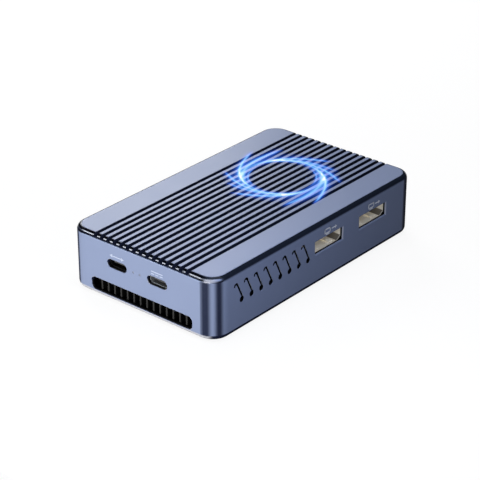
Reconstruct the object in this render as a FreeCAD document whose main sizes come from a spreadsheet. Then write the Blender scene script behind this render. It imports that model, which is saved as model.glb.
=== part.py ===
import FreeCAD, Part
import math
import os
from types import SimpleNamespace

import Sketcher

# Desktop docking station, in millimetres. X runs along the case, the end with the two small
# sockets faces -X, the side with the display sockets faces -Y, and the feet stand on Z = 0.
# Heights named "above_base" are measured from the lower rim of the housing, and those named "below_top"
# from its top face, where the fan, the light ring and the sockets all hang.

driving = {
    # Housing
    "case_length": 120.0,
    "case_width": 71.4,
    "case_height": 25.2,
    "case_corner": 7.2,
    "case_edge": 2.1,
    "case_wall": 3.0,
    "top_web": 2.6,
    "foot_stand": 0.6,
    # Grooves in the top
    "groove_count": 15,
    "groove_pitch": 3.22,
    "groove_width": 1.6,
    "groove_depth": 1.4,
    # Wall thinned from inside behind the sockets and vents, and the room round its edges
    "socket_wall": 1.2,
    "relief_margin": 2.0,
    # Vent slot in the end
    "vent_inset": 11.15,
    "vent_height": 4.75,
    "vent_above_base": 4.63,
    "vent_corner": 1.6,
    "opening_bevel": 0.4,
    # Note-shaped vents in the side: round head, leaning stem, hooked flag
    "note_count": 8,
    "note_pitch": 5.457,
    "note_first_x": -45.3,
    "note_below_top": 12.5,
    "note_head": 1.2,
    "note_stem_foot": 0.7,
    "note_stem_lean": 3.15,
    "note_stem_rise": 6.75,
    "note_stem_width": 0.82,
    "note_hook": 0.75,
    "note_hook_width": 0.95,
    # Reversible sockets in the end
    "socket_below_top": 9.5,
    "data_socket_y": 11.57,
    "power_socket_y": -8.24,
    "slot_width": 9.05,
    "slot_height": 3.05,
    "shell_width": 9.0,
    "shell_height": 3.2,
    "shell_wall": 0.25,
    "shell_length": 7.4,
    "tongue_width": 6.7,
    "tongue_thickness": 0.7,
    "tongue_set_back": 0.9,
    "tongue_root": 1.8,
    # Display sockets in the side
    "display_below_top": 9.35,
    "display_1_x": 5.6,
    "display_2_x": 32.9,
    "display_width": 16.7,
    "display_height": 5.05,
    "display_cut_width": 2.3,
    "display_cut_height": 1.5,
    "display_wall": 0.35,
    "display_length": 11.5,
    "display_blade_width": 13.0,
    "display_blade_thickness": 1.3,
    "display_blade_set_back": 3.2,
    "display_root": 2.6,
    "display_tab_width": 1.8,
    "display_tab_length": 5.0,
    # Indicator lens between the end sockets
    "indicator_y": 1.87,
    "indicator_spacing": 3.25,
    "indicator_below_top": 9.3,
    "indicator_radius": 0.4,
    "lens_block_length": 2.4,
    # Cover, its screws and the feet
    "cover_recess": 0.4,
    "cover_thickness": 1.6,
    "post_inset": 8.5,
    "post_radius": 3.6,
    "cover_screw_head": 2.3,
    "cover_screw_hole": 1.4,
    "cover_screw_shank": 1.2,
    "cover_screw_grip": 6.0,
    "cover_screw_socket": 0.9,
    "cover_screw_socket_depth": 0.8,
    "foot_radius": 4.6,
    "foot_pocket": 0.5,
    "foot_bevel": 0.4,
    "foot_x": 39.0,
    "foot_y": 23.0,
    # Main board
    "board_thickness": 1.6,
    "board_margin": 1.0,
    "board_slide": 2.0,
    "boss_radius": 2.4,
    "boss_side_inset": 8.7,
    "boss_socket_end_inset": 24.0,
    "boss_far_end_inset": 20.0,
    "board_screw_shank": 0.95,
    "board_screw_head": 1.9,
    "board_screw_head_height": 1.3,
    "board_screw_grip": 4.5,
    # Chips under the board
    "chip_height": 1.0,
    "pad_height": 0.5,
    "controller_chip_side": 14.0,
    "controller_chip_inset": 18.0,
    "controller_chip_y": -7.0,
    "video_chip_side": 12.0,
    "video_chip_inset": 36.0,
    "video_chip_y": 6.0,
    "power_chip_side": 7.0,
    "power_chip_inset": 18.0,
    "power_chip_y": 12.0,
    # Heat sink under the chips
    "fin_count": 14,
    "fin_edge": 3.62,
    "fin_thickness": 0.7,
    "sink_base": 2.0,
    "sink_length": 50.5,
    "sink_boss_radius": 2.3,
    "sink_boss_edge": 3.0,
    "sink_boss_inset": 10.5,
    "sink_screw_grip": 3.0,
    # Fan over the board, under the grooves
    "fan_x": 22.3,
    "fan_y": 0.0,
    "fan_half_side": 18.0,
    "fan_corner": 3.0,
    "fan_chamber": 16.5,
    "fan_base": 1.0,
    "fan_lid_thickness": 0.6,
    "fan_lid_inlet": 11.5,
    "fan_window_inner": 7.2,
    "fan_window_outer": 13.0,
    "fan_outlet_edge": 3.0,
    "spoke_count": 3,
    "spoke_width": 1.8,
    "fan_screw_offset": 15.2,
    "fan_screw_shank": 0.7,
    "fan_screw_head": 1.5,
    "fan_screw_head_height": 1.1,
    "fan_screw_grip": 3.5,
    "bearing_radius": 1.8,
    "bearing_tube": 2.6,
    "bearing_height": 2.9,
    "bearing_floor": 0.35,
    "shaft_radius": 0.75,
    "shaft_clearance": 0.03,
    "running_gap": 0.45,
    "hub_radius": 8.0,
    "hub_wall": 0.7,
    "hub_plate": 0.8,
    "blade_count": 13,
    "blade_thickness": 0.6,
    "blade_bend": 11.0,
    "blade_reach": 6.5,
    "magnet_thickness": 0.7,
    "magnet_height": 2.0,
    "stator_ring": 3.6,
    "stator_reach": 6.0,
    "stator_lift": 0.4,
    "stator_height": 1.6,
    "tooth_count": 6,
    "tooth_width": 1.2,
    "coil_thickness": 0.3,
    "coil_start": 3.9,
    "coil_end": 5.4,
    "fan_lead_width": 2.4,
    "fan_lead_thickness": 0.3,
    "fan_lead_length": 3.0,
    "fan_connector_side": 4.0,
    "fan_connector_height": 2.2,
    # Air opening in the housing over the fan, and the light ring round it
    "air_radius": 12.5,
    "air_step": 0.2,
    "light_guide_inner": 14.9,
    "light_guide_outer": 18.2,
    "light_guide_height": 1.1,
    "light_board_inner": 13.0,
    "light_board_thickness": 0.2,
    "light_tail_width": 3.0,
    "light_tail_gap": 0.5,
    "emitter_count": 12,
    "emitter_radius": 14.3,
    "emitter_width": 1.6,
    "emitter_depth": 0.8,
    "emitter_height": 0.6,
    # Clearances
    "seat_gap": 0.1,
    "fit_gap": 0.02,
    "slide_gap": 0.15,
    "thread_gap": 0.05,
    "air_gap": 0.3,
    "overcut": 1.0,
}

doc = FreeCAD.newDocument("docking_station")
sheet = doc.addObject("Spreadsheet::Sheet", "Sizes")
UP = FreeCAD.Vector(0, 0, 1)
START_INDEX, END_INDEX, CENTRE_INDEX = 1, 2, 3
ORIGIN_INDEX = (-1, 1)
QUARTER = math.pi / 2
TOLERANCE = 1e-4
pieces = []


class Size:
    """A number together with the sheet expression that gives it."""

    def __init__(self, value, text):
        self.value = value
        self.text = text

    def __add__(self, other):
        return Size(self.value + sized(other).value, f"({self.text} + {sized(other).text})")

    def __sub__(self, other):
        return Size(self.value - sized(other).value, f"({self.text} - {sized(other).text})")

    def __mul__(self, other):
        return Size(self.value * sized(other).value, f"({self.text} * {sized(other).text})")

    def __truediv__(self, other):
        return Size(self.value / sized(other).value, f"({self.text} / {sized(other).text})")

    def __radd__(self, other):
        return sized(other) + self

    def __rsub__(self, other):
        return sized(other) - self

    def __rmul__(self, other):
        return sized(other) * self

    def __neg__(self):
        return Size(-self.value, f"(-1 * {self.text})")

    def root(self):
        return Size(math.sqrt(self.value), f"sqrt({self.text})")


def sized(value):
    return value if isinstance(value, Size) else Size(float(value), f"({value})")


for row, (alias, number) in enumerate(driving.items(), start=1):
    sheet.set(f"A{row}", alias.replace("_", " "))
    sheet.set(f"B{row}", str(number))
    sheet.setAlias(f"B{row}", alias)
doc.recompute()
size = SimpleNamespace(**{
    alias: Size(number, f"{sheet.Name}.{alias}") for alias, number in driving.items()})


# Binding and placing

def bind(item, path, value):
    item.setExpression(path, sized(value).text)


def place(item, x, y, z):
    bind(item, "Placement.Base.x", x)
    bind(item, "Placement.Base.y", y)
    bind(item, "Placement.Base.z", z)
    return item


def keep(item, label):
    item.Label = label
    pieces.append(item)
    return item


# Sketches: every dimension drawn is tied to the sheet

def body_named(label):
    return keep(doc.addObject("PartDesign::Body", label), label)


def origin_item(body, role):
    return next(item for item in body.Origin.OriginFeatures if item.Role == role)


def sketch_on(body, name, plane, offset=0):
    sketch = body.newObject("Sketcher::SketchObject", name)
    sketch.AttachmentSupport = (origin_item(body, plane), [""])
    sketch.MapMode = "FlatFace"
    bind(sketch, "AttachmentOffset.Base.z", offset)
    return sketch


def point(x, y):
    return FreeCAD.Vector(sized(x).value, sized(y).value)


def relate(sketch, kind, *places):
    sketch.addConstraint(Sketcher.Constraint(kind, *places))


def dimension(sketch, kind, value, *places):
    index = sketch.addConstraint(Sketcher.Constraint(kind, *places, sized(value).value))
    bind(sketch, f"Constraints[{index}]", value)


def pin(sketch, x, y, edge, end):
    dimension(sketch, "DistanceX", x, *ORIGIN_INDEX, edge, end)
    dimension(sketch, "DistanceY", y, *ORIGIN_INDEX, edge, end)


def line(sketch, first, last):
    return sketch.addGeometry(Part.LineSegment(first, last))


def arc(sketch, centre, radius, first_angle, last_angle):
    return sketch.addGeometry(Part.ArcOfCircle(Part.Circle(centre, UP, radius), first_angle, last_angle))


def join_smoothly(sketch, edges):
    for edge, following in zip(edges, edges[1:] + edges[:1]):
        relate(sketch, "Tangent", edge, END_INDEX, following, START_INDEX)


def circle(sketch, x, y, radius):
    edge = sketch.addGeometry(Part.Circle(point(x, y), UP, sized(radius).value))
    dimension(sketch, "Radius", radius, edge)
    pin(sketch, x, y, edge, CENTRE_INDEX)


def polygon(sketch, *corners):
    points = [point(x, y) for x, y in corners]
    edges = [line(sketch, first, last) for first, last in zip(points, points[1:] + points[:1])]
    for edge, following in zip(edges, edges[1:] + edges[:1]):
        relate(sketch, "Coincident", edge, END_INDEX, following, START_INDEX)
    for edge, (x, y) in zip(edges, corners):
        pin(sketch, x, y, edge, START_INDEX)


def rectangle(sketch, left, right, low, high):
    polygon(sketch, (left, low), (right, low), (right, high), (left, high))


def rounded_rectangle(sketch, left, right, low, high, radius):
    turn = sized(radius).value
    floor_edge = line(sketch, point(left + radius, low), point(right - radius, low))
    right_low = arc(sketch, point(right - radius, low + radius), turn, 3 * QUARTER, 4 * QUARTER)
    right_edge = line(sketch, point(right, low + radius), point(right, high - radius))
    right_high = arc(sketch, point(right - radius, high - radius), turn, 0, QUARTER)
    roof_edge = line(sketch, point(right - radius, high), point(left + radius, high))
    left_high = arc(sketch, point(left + radius, high - radius), turn, QUARTER, 2 * QUARTER)
    left_edge = line(sketch, point(left, high - radius), point(left, low + radius))
    left_low = arc(sketch, point(left + radius, low + radius), turn, 2 * QUARTER, 3 * QUARTER)
    join_smoothly(sketch, [floor_edge, right_low, right_edge, right_high,
                           roof_edge, left_high, left_edge, left_low])
    relate(sketch, "Horizontal", floor_edge)
    relate(sketch, "Horizontal", roof_edge)
    relate(sketch, "Vertical", right_edge)
    relate(sketch, "Vertical", left_edge)
    for corner in (right_high, left_high, left_low):
        relate(sketch, "Equal", right_low, corner)
    dimension(sketch, "Radius", radius, right_low)
    dimension(sketch, "DistanceX", left, *ORIGIN_INDEX, left_edge, START_INDEX)
    dimension(sketch, "DistanceX", right, *ORIGIN_INDEX, right_edge, START_INDEX)
    dimension(sketch, "DistanceY", low, *ORIGIN_INDEX, floor_edge, START_INDEX)
    dimension(sketch, "DistanceY", high, *ORIGIN_INDEX, roof_edge, START_INDEX)


def straight_slot(sketch, x1, y1, x2, y2, radius):
    first, last, turn = point(x1, y1), point(x2, y2), sized(radius).value
    heading = math.atan2(last.y - first.y, last.x - first.x)
    aside = FreeCAD.Vector(-math.sin(heading), math.cos(heading)) * turn
    out = line(sketch, first - aside, last - aside)
    last_cap = arc(sketch, last, turn, heading - QUARTER, heading + QUARTER)
    back = line(sketch, last + aside, first + aside)
    first_cap = arc(sketch, first, turn, heading + QUARTER, heading + 3 * QUARTER)
    join_smoothly(sketch, [out, last_cap, back, first_cap])
    relate(sketch, "Equal", first_cap, last_cap)
    dimension(sketch, "Radius", radius, first_cap)
    pin(sketch, x1, y1, first_cap, CENTRE_INDEX)
    pin(sketch, x2, y2, last_cap, CENTRE_INDEX)


def curved_slot(sketch, x, y, radius, width, first, last, pinned):
    """Slot along an arc that runs anticlockwise from first to last, two points on its centre line."""
    centre, bend, half = point(x, y), sized(radius).value, sized(width).value / 2
    first_angle = math.atan2(point(*first).y - centre.y, point(*first).x - centre.x)
    last_angle = math.atan2(point(*last).y - centre.y, point(*last).x - centre.x)
    outer = arc(sketch, centre, bend + half, first_angle, last_angle)
    last_cap = arc(sketch, point(*last), half, last_angle, last_angle + 2 * QUARTER)
    inner = arc(sketch, centre, bend - half, first_angle, last_angle)
    first_cap = arc(sketch, point(*first), half, first_angle + 2 * QUARTER, first_angle + 4 * QUARTER)
    relate(sketch, "Tangent", outer, END_INDEX, last_cap, START_INDEX)
    relate(sketch, "Tangent", last_cap, END_INDEX, inner, END_INDEX)
    relate(sketch, "Tangent", inner, START_INDEX, first_cap, START_INDEX)
    relate(sketch, "Tangent", first_cap, END_INDEX, outer, START_INDEX)
    relate(sketch, "Coincident", outer, CENTRE_INDEX, inner, CENTRE_INDEX)
    dimension(sketch, "Radius", radius + width / 2, outer)
    dimension(sketch, "Radius", radius - width / 2, inner)
    pin(sketch, x, y, outer, CENTRE_INDEX)
    along = 0 if pinned == "DistanceX" else 1
    dimension(sketch, pinned, first[along], *ORIGIN_INDEX, first_cap, CENTRE_INDEX)
    dimension(sketch, pinned, last[along], *ORIGIN_INDEX, last_cap, CENTRE_INDEX)


# Features

def pad(body, name, sketch, length, reverse=False):
    feature = body.newObject("PartDesign::Pad", name)
    feature.Profile = sketch
    feature.Reversed = reverse
    bind(feature, "Length", length)
    doc.recompute()
    return feature


def pocket(body, name, sketch, depth, reverse=False, both_ways=False):
    whole = body.Shape.Volume
    feature = body.newObject("PartDesign::Pocket", name)
    feature.Profile = sketch
    feature.Reversed = reverse
    feature.SideType = "Symmetric" if both_ways else "One side"
    bind(feature, "Length", depth)
    doc.recompute()
    if body.Shape.Volume > whole - TOLERANCE:
        raise ValueError(f"{name} cuts nothing")
    return feature


def revolve(body, name, sketch):
    feature = body.newObject("PartDesign::Revolution", name)
    feature.Profile = sketch
    feature.ReferenceAxis = (origin_item(body, "Z_Axis"), [""])
    feature.Angle = 360
    doc.recompute()
    return feature


def repeat_along(body, name, features, axis, pitch, count):
    pattern = body.newObject("PartDesign::LinearPattern", name)
    pattern.Originals = features
    pattern.Direction = (origin_item(body, axis), [""])
    pattern.Mode = "Spacing"
    bind(pattern, "Offset", pitch)
    bind(pattern, "Occurrences", count)
    body.Tip = pattern
    doc.recompute()


def repeat_round(body, name, features, count):
    pattern = body.newObject("PartDesign::PolarPattern", name)
    pattern.Originals = features
    pattern.Axis = (origin_item(body, "Z_Axis"), [""])
    pattern.Angle = 360
    bind(pattern, "Occurrences", count)
    body.Tip = pattern
    doc.recompute()


def dress_edges(body, kind, name, feature, chosen, path, value):
    """Fillet or chamfer the edges of a feature that the given test picks."""
    edges = [f"Edge{index}" for index, edge in enumerate(feature.Shape.Edges, start=1) if chosen(edge)]
    dressing = body.newObject(f"PartDesign::{kind}", name)
    dressing.Base = (feature, edges)
    bind(dressing, path, value)
    doc.recompute()
    return dressing


# Plain solids

def box(name, left, right, near, far, low, high):
    solid = doc.addObject("Part::Box", name)
    bind(solid, "Length", right - left)
    bind(solid, "Width", far - near)
    bind(solid, "Height", high - low)
    return place(solid, left, near, low)


def cylinder(name, x, y, low, high, radius):
    solid = doc.addObject("Part::Cylinder", name)
    bind(solid, "Radius", radius)
    bind(solid, "Height", high - low)
    return place(solid, x, y, low)


def cone(name, x, y, low, high, low_radius, high_radius):
    solid = doc.addObject("Part::Cone", name)
    bind(solid, "Radius1", low_radius)
    bind(solid, "Radius2", high_radius)
    bind(solid, "Height", high - low)
    return place(solid, x, y, low)


def cut(name, base, tool):
    result = doc.addObject("Part::Cut", name)
    result.Base = base
    result.Tool = tool
    return result


def fuse(name, *solids):
    result = doc.addObject("Part::MultiFuse", name)
    result.Shapes = list(solids)
    return result


def group(label, solids):
    result = doc.addObject("Part::Compound", label)
    result.Links = solids
    return keep(result, label)


# Levels and places that several pieces share

half_length = size.case_length / 2
half_width = size.case_width / 2
base = size.foot_stand
case_top = base + size.case_height
groove_floor = case_top - size.groove_depth
ceiling = groove_floor - size.top_web
cover_bottom = base + size.cover_recess
floor = cover_bottom + size.cover_thickness
socket_level = case_top - size.socket_below_top
display_level = case_top - size.display_below_top
indicator_level = case_top - size.indicator_below_top
note_level = case_top - size.note_below_top
vent_level = base + size.vent_above_base
board_top = socket_level - size.shell_height / 2
board_bottom = board_top - size.board_thickness
sink_top = board_bottom - size.chip_height - size.pad_height
sink_bottom = sink_top - size.sink_base
end_inside = -half_length + size.socket_wall
side_inside = -half_width + size.socket_wall
post_spots = [(sx * (half_length - size.post_inset), sy * (half_width - size.post_inset))
              for sx in (-1, 1) for sy in (-1, 1)]
between_displays = (size.display_1_x + size.display_2_x) / 2
boss_left = -half_length + size.boss_socket_end_inset
boss_right = half_length - size.boss_far_end_inset
boss_side = half_width - size.boss_side_inset
boss_spots = [(boss_left, -boss_side), (boss_left, boss_side),
              (between_displays, -boss_side), (boss_right, boss_side)]
vent_side = half_width - size.vent_inset
last_fin = vent_side - size.fin_edge
fin_pitch = 2 * last_fin / (size.fin_count - 1)
sink_side = last_fin + size.fin_thickness / 2
sink_start = end_inside + size.air_gap
sink_end = sink_start + size.sink_length
sink_boss_side = sink_side - size.sink_boss_edge
sink_boss_spots = [(sink_start + size.sink_boss_inset, -sink_boss_side),
                   (sink_end - size.sink_boss_inset / 2, sink_boss_side)]
light_board_top = ceiling - size.light_guide_height
light_board_bottom = light_board_top - size.light_board_thickness
fan_height = light_board_bottom - size.fan_lid_thickness - board_top
fan_screw_spots = [(size.fan_screw_offset, -size.fan_screw_offset),
                   (-size.fan_screw_offset, size.fan_screw_offset)]


# Housing: one metal case, open below, with the top grooved along its whole length

housing = body_named("housing")
sketch = sketch_on(housing, "case_outline", "XY_Plane", base)
rounded_rectangle(sketch, -half_length, half_length, -half_width, half_width, size.case_corner)
block = pad(housing, "case_block", sketch, size.case_height)
rounded = dress_edges(
    housing, "Fillet", "case_edges", block,
    lambda edge: edge.BoundBox.ZMin > case_top.value - TOLERANCE
    or edge.BoundBox.ZMax < base.value + TOLERANCE,
    "Radius", size.case_edge)

sketch = sketch_on(housing, "cavity_outline", "XY_Plane", base)
rounded_rectangle(sketch, -half_length + size.case_wall, half_length - size.case_wall,
                  -half_width + size.case_wall, half_width - size.case_wall,
                  size.case_corner - size.case_wall)
pocket(housing, "cavity", sketch, ceiling - base, reverse=True)

# The two walls that hold sockets and vents are thinned from inside.
sketch = sketch_on(housing, "end_relief_outline", "XY_Plane", floor)
rectangle(sketch, end_inside, -half_length + size.case_wall + size.overcut,
          -vent_side - size.relief_margin, vent_side + size.relief_margin)
pocket(housing, "end_relief", sketch, ceiling - floor, reverse=True)
sketch = sketch_on(housing, "side_relief_outline", "XY_Plane", floor)
rectangle(sketch, size.note_first_x - size.note_stem_lean - size.note_hook - size.relief_margin,
          size.display_2_x + size.display_width / 2 + size.relief_margin,
          side_inside, -half_width + size.case_wall + size.overcut)
pocket(housing, "side_relief", sketch, ceiling - floor, reverse=True)

# Posts for the cover screws and bosses for the board screws hang from the ceiling.
sketch = sketch_on(housing, "post_outlines", "XY_Plane", floor)
for x, y in post_spots:
    circle(sketch, x, y, size.post_radius)
pad(housing, "posts", sketch, ceiling - floor + size.top_web / 2)
sketch = sketch_on(housing, "post_hole_outlines", "XY_Plane", floor)
for x, y in post_spots:
    circle(sketch, x, y, size.cover_screw_shank + size.thread_gap)
pocket(housing, "post_holes", sketch, size.cover_screw_grip + size.overcut, reverse=True)
sketch = sketch_on(housing, "boss_outlines", "XY_Plane", board_top)
for x, y in boss_spots:
    circle(sketch, x, y, size.boss_radius)
pad(housing, "bosses", sketch, ceiling - board_top + size.top_web / 2)
sketch = sketch_on(housing, "boss_hole_outlines", "XY_Plane", board_top)
for x, y in boss_spots:
    circle(sketch, x, y, size.board_screw_shank + size.thread_gap)
pocket(housing, "boss_holes", sketch, size.board_screw_grip + size.overcut, reverse=True)

# Under the fan's air opening the web goes, so that the grooves there become slots between bare ribs.
sketch = sketch_on(housing, "air_outline", "XY_Plane", ceiling)
circle(sketch, size.fan_x, size.fan_y, size.air_radius)
pocket(housing, "air_opening", sketch, size.top_web + size.air_step, reverse=True)

sketch = sketch_on(housing, "groove_outline", "YZ_Plane")
first_groove = -(size.groove_count - 1) * size.groove_pitch / 2
rectangle(sketch, first_groove - size.groove_width / 2, first_groove + size.groove_width / 2,
          groove_floor, case_top + size.overcut)
groove = pocket(housing, "groove", sketch, size.case_length + 2 * size.overcut, both_ways=True)
repeat_along(housing, "grooves", [groove], "Y_Axis", size.groove_pitch, size.groove_count)

# Openings in the end: two sockets, two indicator holes and the vent slot
sketch = sketch_on(housing, "end_outlines", "YZ_Plane", -half_length)
slot_reach = (size.slot_width - size.slot_height) / 2
for y in (size.data_socket_y, size.power_socket_y):
    straight_slot(sketch, y - slot_reach, socket_level, y + slot_reach, socket_level, size.slot_height / 2)
rounded_rectangle(sketch, -vent_side, vent_side,
                  vent_level - size.vent_height / 2, vent_level + size.vent_height / 2, size.vent_corner)
end_openings = pocket(housing, "end_openings", sketch, size.socket_wall + size.overcut, reverse=True)
flat_low = base + size.case_edge
flat_high = case_top - size.case_edge


def opens_end(edge):
    limits = edge.BoundBox
    on_face = abs(limits.XMin + half_length.value) < TOLERANCE and limits.XLength < TOLERANCE
    between_edges = limits.ZMax < flat_high.value - TOLERANCE and limits.ZMin > flat_low.value + TOLERANCE
    between_corners = abs(limits.Center.y) < (half_width - size.case_corner).value - TOLERANCE
    return on_face and between_edges and between_corners


dress_edges(housing, "Chamfer", "end_bevels", end_openings, opens_end, "Size", size.opening_bevel)
sketch = sketch_on(housing, "indicator_outlines", "YZ_Plane", -half_length)
for side in (-1, 1):
    circle(sketch, size.indicator_y + side * size.indicator_spacing / 2, indicator_level,
           size.indicator_radius + size.thread_gap)
pocket(housing, "indicator_holes", sketch, size.socket_wall + size.overcut, reverse=True)

# Openings in the side: a plain rectangle in front of each display socket, and the notes
sketch = sketch_on(housing, "display_outlines", "XZ_Plane", half_width)
for x in (size.display_1_x, size.display_2_x):
    rectangle(sketch, x - size.display_width / 2, x + size.display_width / 2,
              display_level - size.display_height / 2, display_level + size.display_height / 2)
display_openings = pocket(housing, "display_openings", sketch, size.socket_wall + size.overcut)


def opens_side(edge):
    limits = edge.BoundBox
    on_face = abs(limits.YMin + half_width.value) < TOLERANCE and limits.YLength < TOLERANCE
    between_edges = limits.ZMax < flat_high.value - TOLERANCE and limits.ZMin > flat_low.value + TOLERANCE
    between_corners = abs(limits.Center.x) < (half_length - size.case_corner).value - TOLERANCE
    return on_face and between_edges and between_corners


dress_edges(housing, "Chamfer", "display_bevels", display_openings, opens_side, "Size", size.opening_bevel)

# Note-shaped vents: the flag's hook leaves the stem's top along the stem's own direction.
stem_length = (size.note_stem_rise * size.note_stem_rise + size.note_stem_lean * size.note_stem_lean).root()
stem_top_x = size.note_first_x + size.note_stem_foot - size.note_stem_lean
stem_top_z = note_level + size.note_stem_rise
hook_x = stem_top_x - size.note_hook * size.note_stem_rise / stem_length
hook_z = stem_top_z - size.note_hook * size.note_stem_lean / stem_length
sketch = sketch_on(housing, "note_head_outline", "XZ_Plane", half_width)
circle(sketch, size.note_first_x, note_level, size.note_head)
note_head = pocket(housing, "note_head", sketch, size.socket_wall + size.overcut)
sketch = sketch_on(housing, "note_stem_outline", "XZ_Plane", half_width)
straight_slot(sketch, size.note_first_x + size.note_stem_foot, note_level,
              stem_top_x, stem_top_z, size.note_stem_width / 2)
note_stem = pocket(housing, "note_stem", sketch, size.socket_wall + size.overcut)
sketch = sketch_on(housing, "note_hook_outline", "XZ_Plane", half_width)
curved_slot(sketch, hook_x, hook_z, size.note_hook, size.note_hook_width,
            (stem_top_x, stem_top_z), (hook_x - size.note_hook, hook_z), "DistanceY")
note_hook = pocket(housing, "note_flag", sketch, size.socket_wall + size.overcut)
note_cuts = [note_head, note_stem, note_hook]
repeat_along(housing, "notes", note_cuts, "X_Axis", size.note_pitch, size.note_count)


# Bottom cover: a plate let into the housing, screwed to the posts, with pockets for the feet

cover_inset = size.case_wall + size.slide_gap
foot_spots = [(sx * size.foot_x, sy * size.foot_y) for sx in (-1, 1) for sy in (-1, 1)]
cover = body_named("bottom_cover")
sketch = sketch_on(cover, "cover_outline", "XY_Plane", cover_bottom)
rounded_rectangle(sketch, -half_length + cover_inset, half_length - cover_inset,
                  -half_width + cover_inset, half_width - cover_inset, size.case_corner - cover_inset)
pad(cover, "cover_plate", sketch, size.cover_thickness)
sketch = sketch_on(cover, "foot_pocket_outlines", "XY_Plane", cover_bottom)
for x, y in foot_spots:
    circle(sketch, x, y, size.foot_radius + size.seat_gap)
pocket(cover, "foot_pockets", sketch, size.foot_pocket, reverse=True)
sketch = sketch_on(cover, "cover_hole_outlines", "XY_Plane", cover_bottom)
for x, y in post_spots:
    circle(sketch, x, y, size.cover_screw_hole)
cover_holes = pocket(cover, "cover_holes", sketch, size.cover_thickness + size.overcut, reverse=True)


def opens_cover(edge):
    round_edge = isinstance(edge.Curve, Part.Circle)
    at_bottom = edge.BoundBox.ZMax < cover_bottom.value + TOLERANCE
    return round_edge and at_bottom and abs(edge.Curve.Radius - size.cover_screw_hole.value) < TOLERANCE


sink_depth = size.cover_screw_head - size.cover_screw_hole
dress_edges(cover, "Chamfer", "countersinks", cover_holes, opens_cover, "Size", sink_depth)

cover_screws = []
for number, (x, y) in enumerate(post_spots, start=1):
    head = cone(f"cover_screw_head_{number}", x, y, cover_bottom, cover_bottom + sink_depth,
                size.cover_screw_head - size.fit_gap, size.cover_screw_hole - size.fit_gap)
    shank = cylinder(f"cover_screw_shank_{number}", x, y, cover_bottom + sink_depth,
                     floor + size.cover_screw_grip, size.cover_screw_shank)
    drive = doc.addObject("Part::Prism", f"cover_screw_drive_{number}")
    drive.Polygon = 6
    bind(drive, "Circumradius", size.cover_screw_socket)
    bind(drive, "Height", size.cover_screw_socket_depth)
    place(drive, x, y, cover_bottom)
    whole = fuse(f"cover_screw_blank_{number}", head, shank)
    cover_screws.append(cut(f"cover_screw_{number}", whole, drive))
group("cover_screws", cover_screws)

# Feet: round rubber pads with a bevelled lower rim
foot_height = cover_bottom + size.foot_pocket
for number, (x, y) in enumerate(foot_spots, start=1):
    foot = body_named(f"foot_{number}")
    sketch = sketch_on(foot, "foot_profile", "XZ_Plane")
    polygon(sketch, (sized(0), sized(0)), (size.foot_radius - size.foot_bevel, sized(0)),
            (size.foot_radius, size.foot_bevel), (size.foot_radius, foot_height), (sized(0), foot_height))
    revolve(foot, "foot_pad", sketch)
    place(foot, x, y, 0)


# Main board: notched at the posts, cut out for the display sockets, open under the fan

board_left = -half_length + size.case_wall + size.board_margin
board_right = half_length - size.case_wall - size.board_slide
board_near = -half_width + size.case_wall + size.board_margin
board_far = half_width - size.case_wall - size.board_slide
notch_x = half_length - size.post_inset - size.post_radius - size.board_slide - size.slide_gap
notch_y = half_width - size.post_inset - size.post_radius - size.board_slide - size.slide_gap
board = body_named("main_board")
sketch = sketch_on(board, "board_outline", "XY_Plane", board_bottom)
polygon(sketch, (-notch_x, board_near), (notch_x, board_near), (notch_x, -notch_y), (board_right, -notch_y),
        (board_right, notch_y), (notch_x, notch_y), (notch_x, board_far), (-notch_x, board_far),
        (-notch_x, notch_y), (board_left, notch_y), (board_left, -notch_y), (-notch_x, -notch_y))
pad(board, "board_plate", sketch, size.board_thickness)
sketch = sketch_on(board, "board_hole_outlines", "XY_Plane", board_top)
for x, y in boss_spots + sink_boss_spots:
    circle(sketch, x, y, size.board_screw_shank + size.slide_gap)
for x, y in fan_screw_spots:
    circle(sketch, size.fan_x + x, size.fan_y + y, size.fan_screw_shank + size.slide_gap)
circle(sketch, size.fan_x, size.fan_y, size.fan_window_outer)
display_rear = side_inside + size.seat_gap + size.display_length
display_side = size.display_width / 2 + size.display_wall + size.slide_gap
for x in (size.display_1_x, size.display_2_x):
    rectangle(sketch, x - display_side, x + display_side,
              board_near - size.overcut, display_rear + size.slide_gap)
pocket(board, "board_openings", sketch, size.board_thickness + size.overcut)


def pan_screw(name, x, y, seat, toward, grip, shank, head, head_height):
    """Pan-head screw: toward is +1 where the shank points up from its seat and -1 where it points down."""
    if toward > 0:
        head_solid = cylinder(f"{name}_head", x, y, seat - head_height, seat, head)
        shank_solid = cylinder(f"{name}_shank", x, y, seat, seat + grip, shank)
    else:
        head_solid = cylinder(f"{name}_head", x, y, seat, seat + head_height, head)
        shank_solid = cylinder(f"{name}_shank", x, y, seat - grip, seat, shank)
    return fuse(name, head_solid, shank_solid)


group("board_screws", [
    pan_screw(f"board_screw_{number}", x, y, board_bottom, 1, size.board_thickness + size.board_screw_grip,
              size.board_screw_shank, size.board_screw_head, size.board_screw_head_height)
    for number, (x, y) in enumerate(boss_spots, start=1)])

# Chips under the board, each with a soft pad that passes its heat to the heat sink
for chip in ("controller_chip", "video_chip", "power_chip"):
    half_side = getattr(size, f"{chip}_side") / 2
    x, y = board_left + getattr(size, f"{chip}_inset"), getattr(size, f"{chip}_y")
    spread = (x - half_side, x + half_side, y - half_side, y + half_side)
    chip_bottom = board_bottom - size.chip_height
    keep(box(chip, *spread, chip_bottom, board_bottom), chip)
    soft_pad = chip.replace("chip", "pad")
    keep(box(soft_pad, *spread, sink_top, chip_bottom), soft_pad)


# Heat sink: a finned plate whose fin ends stand right behind the vent slot

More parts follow.
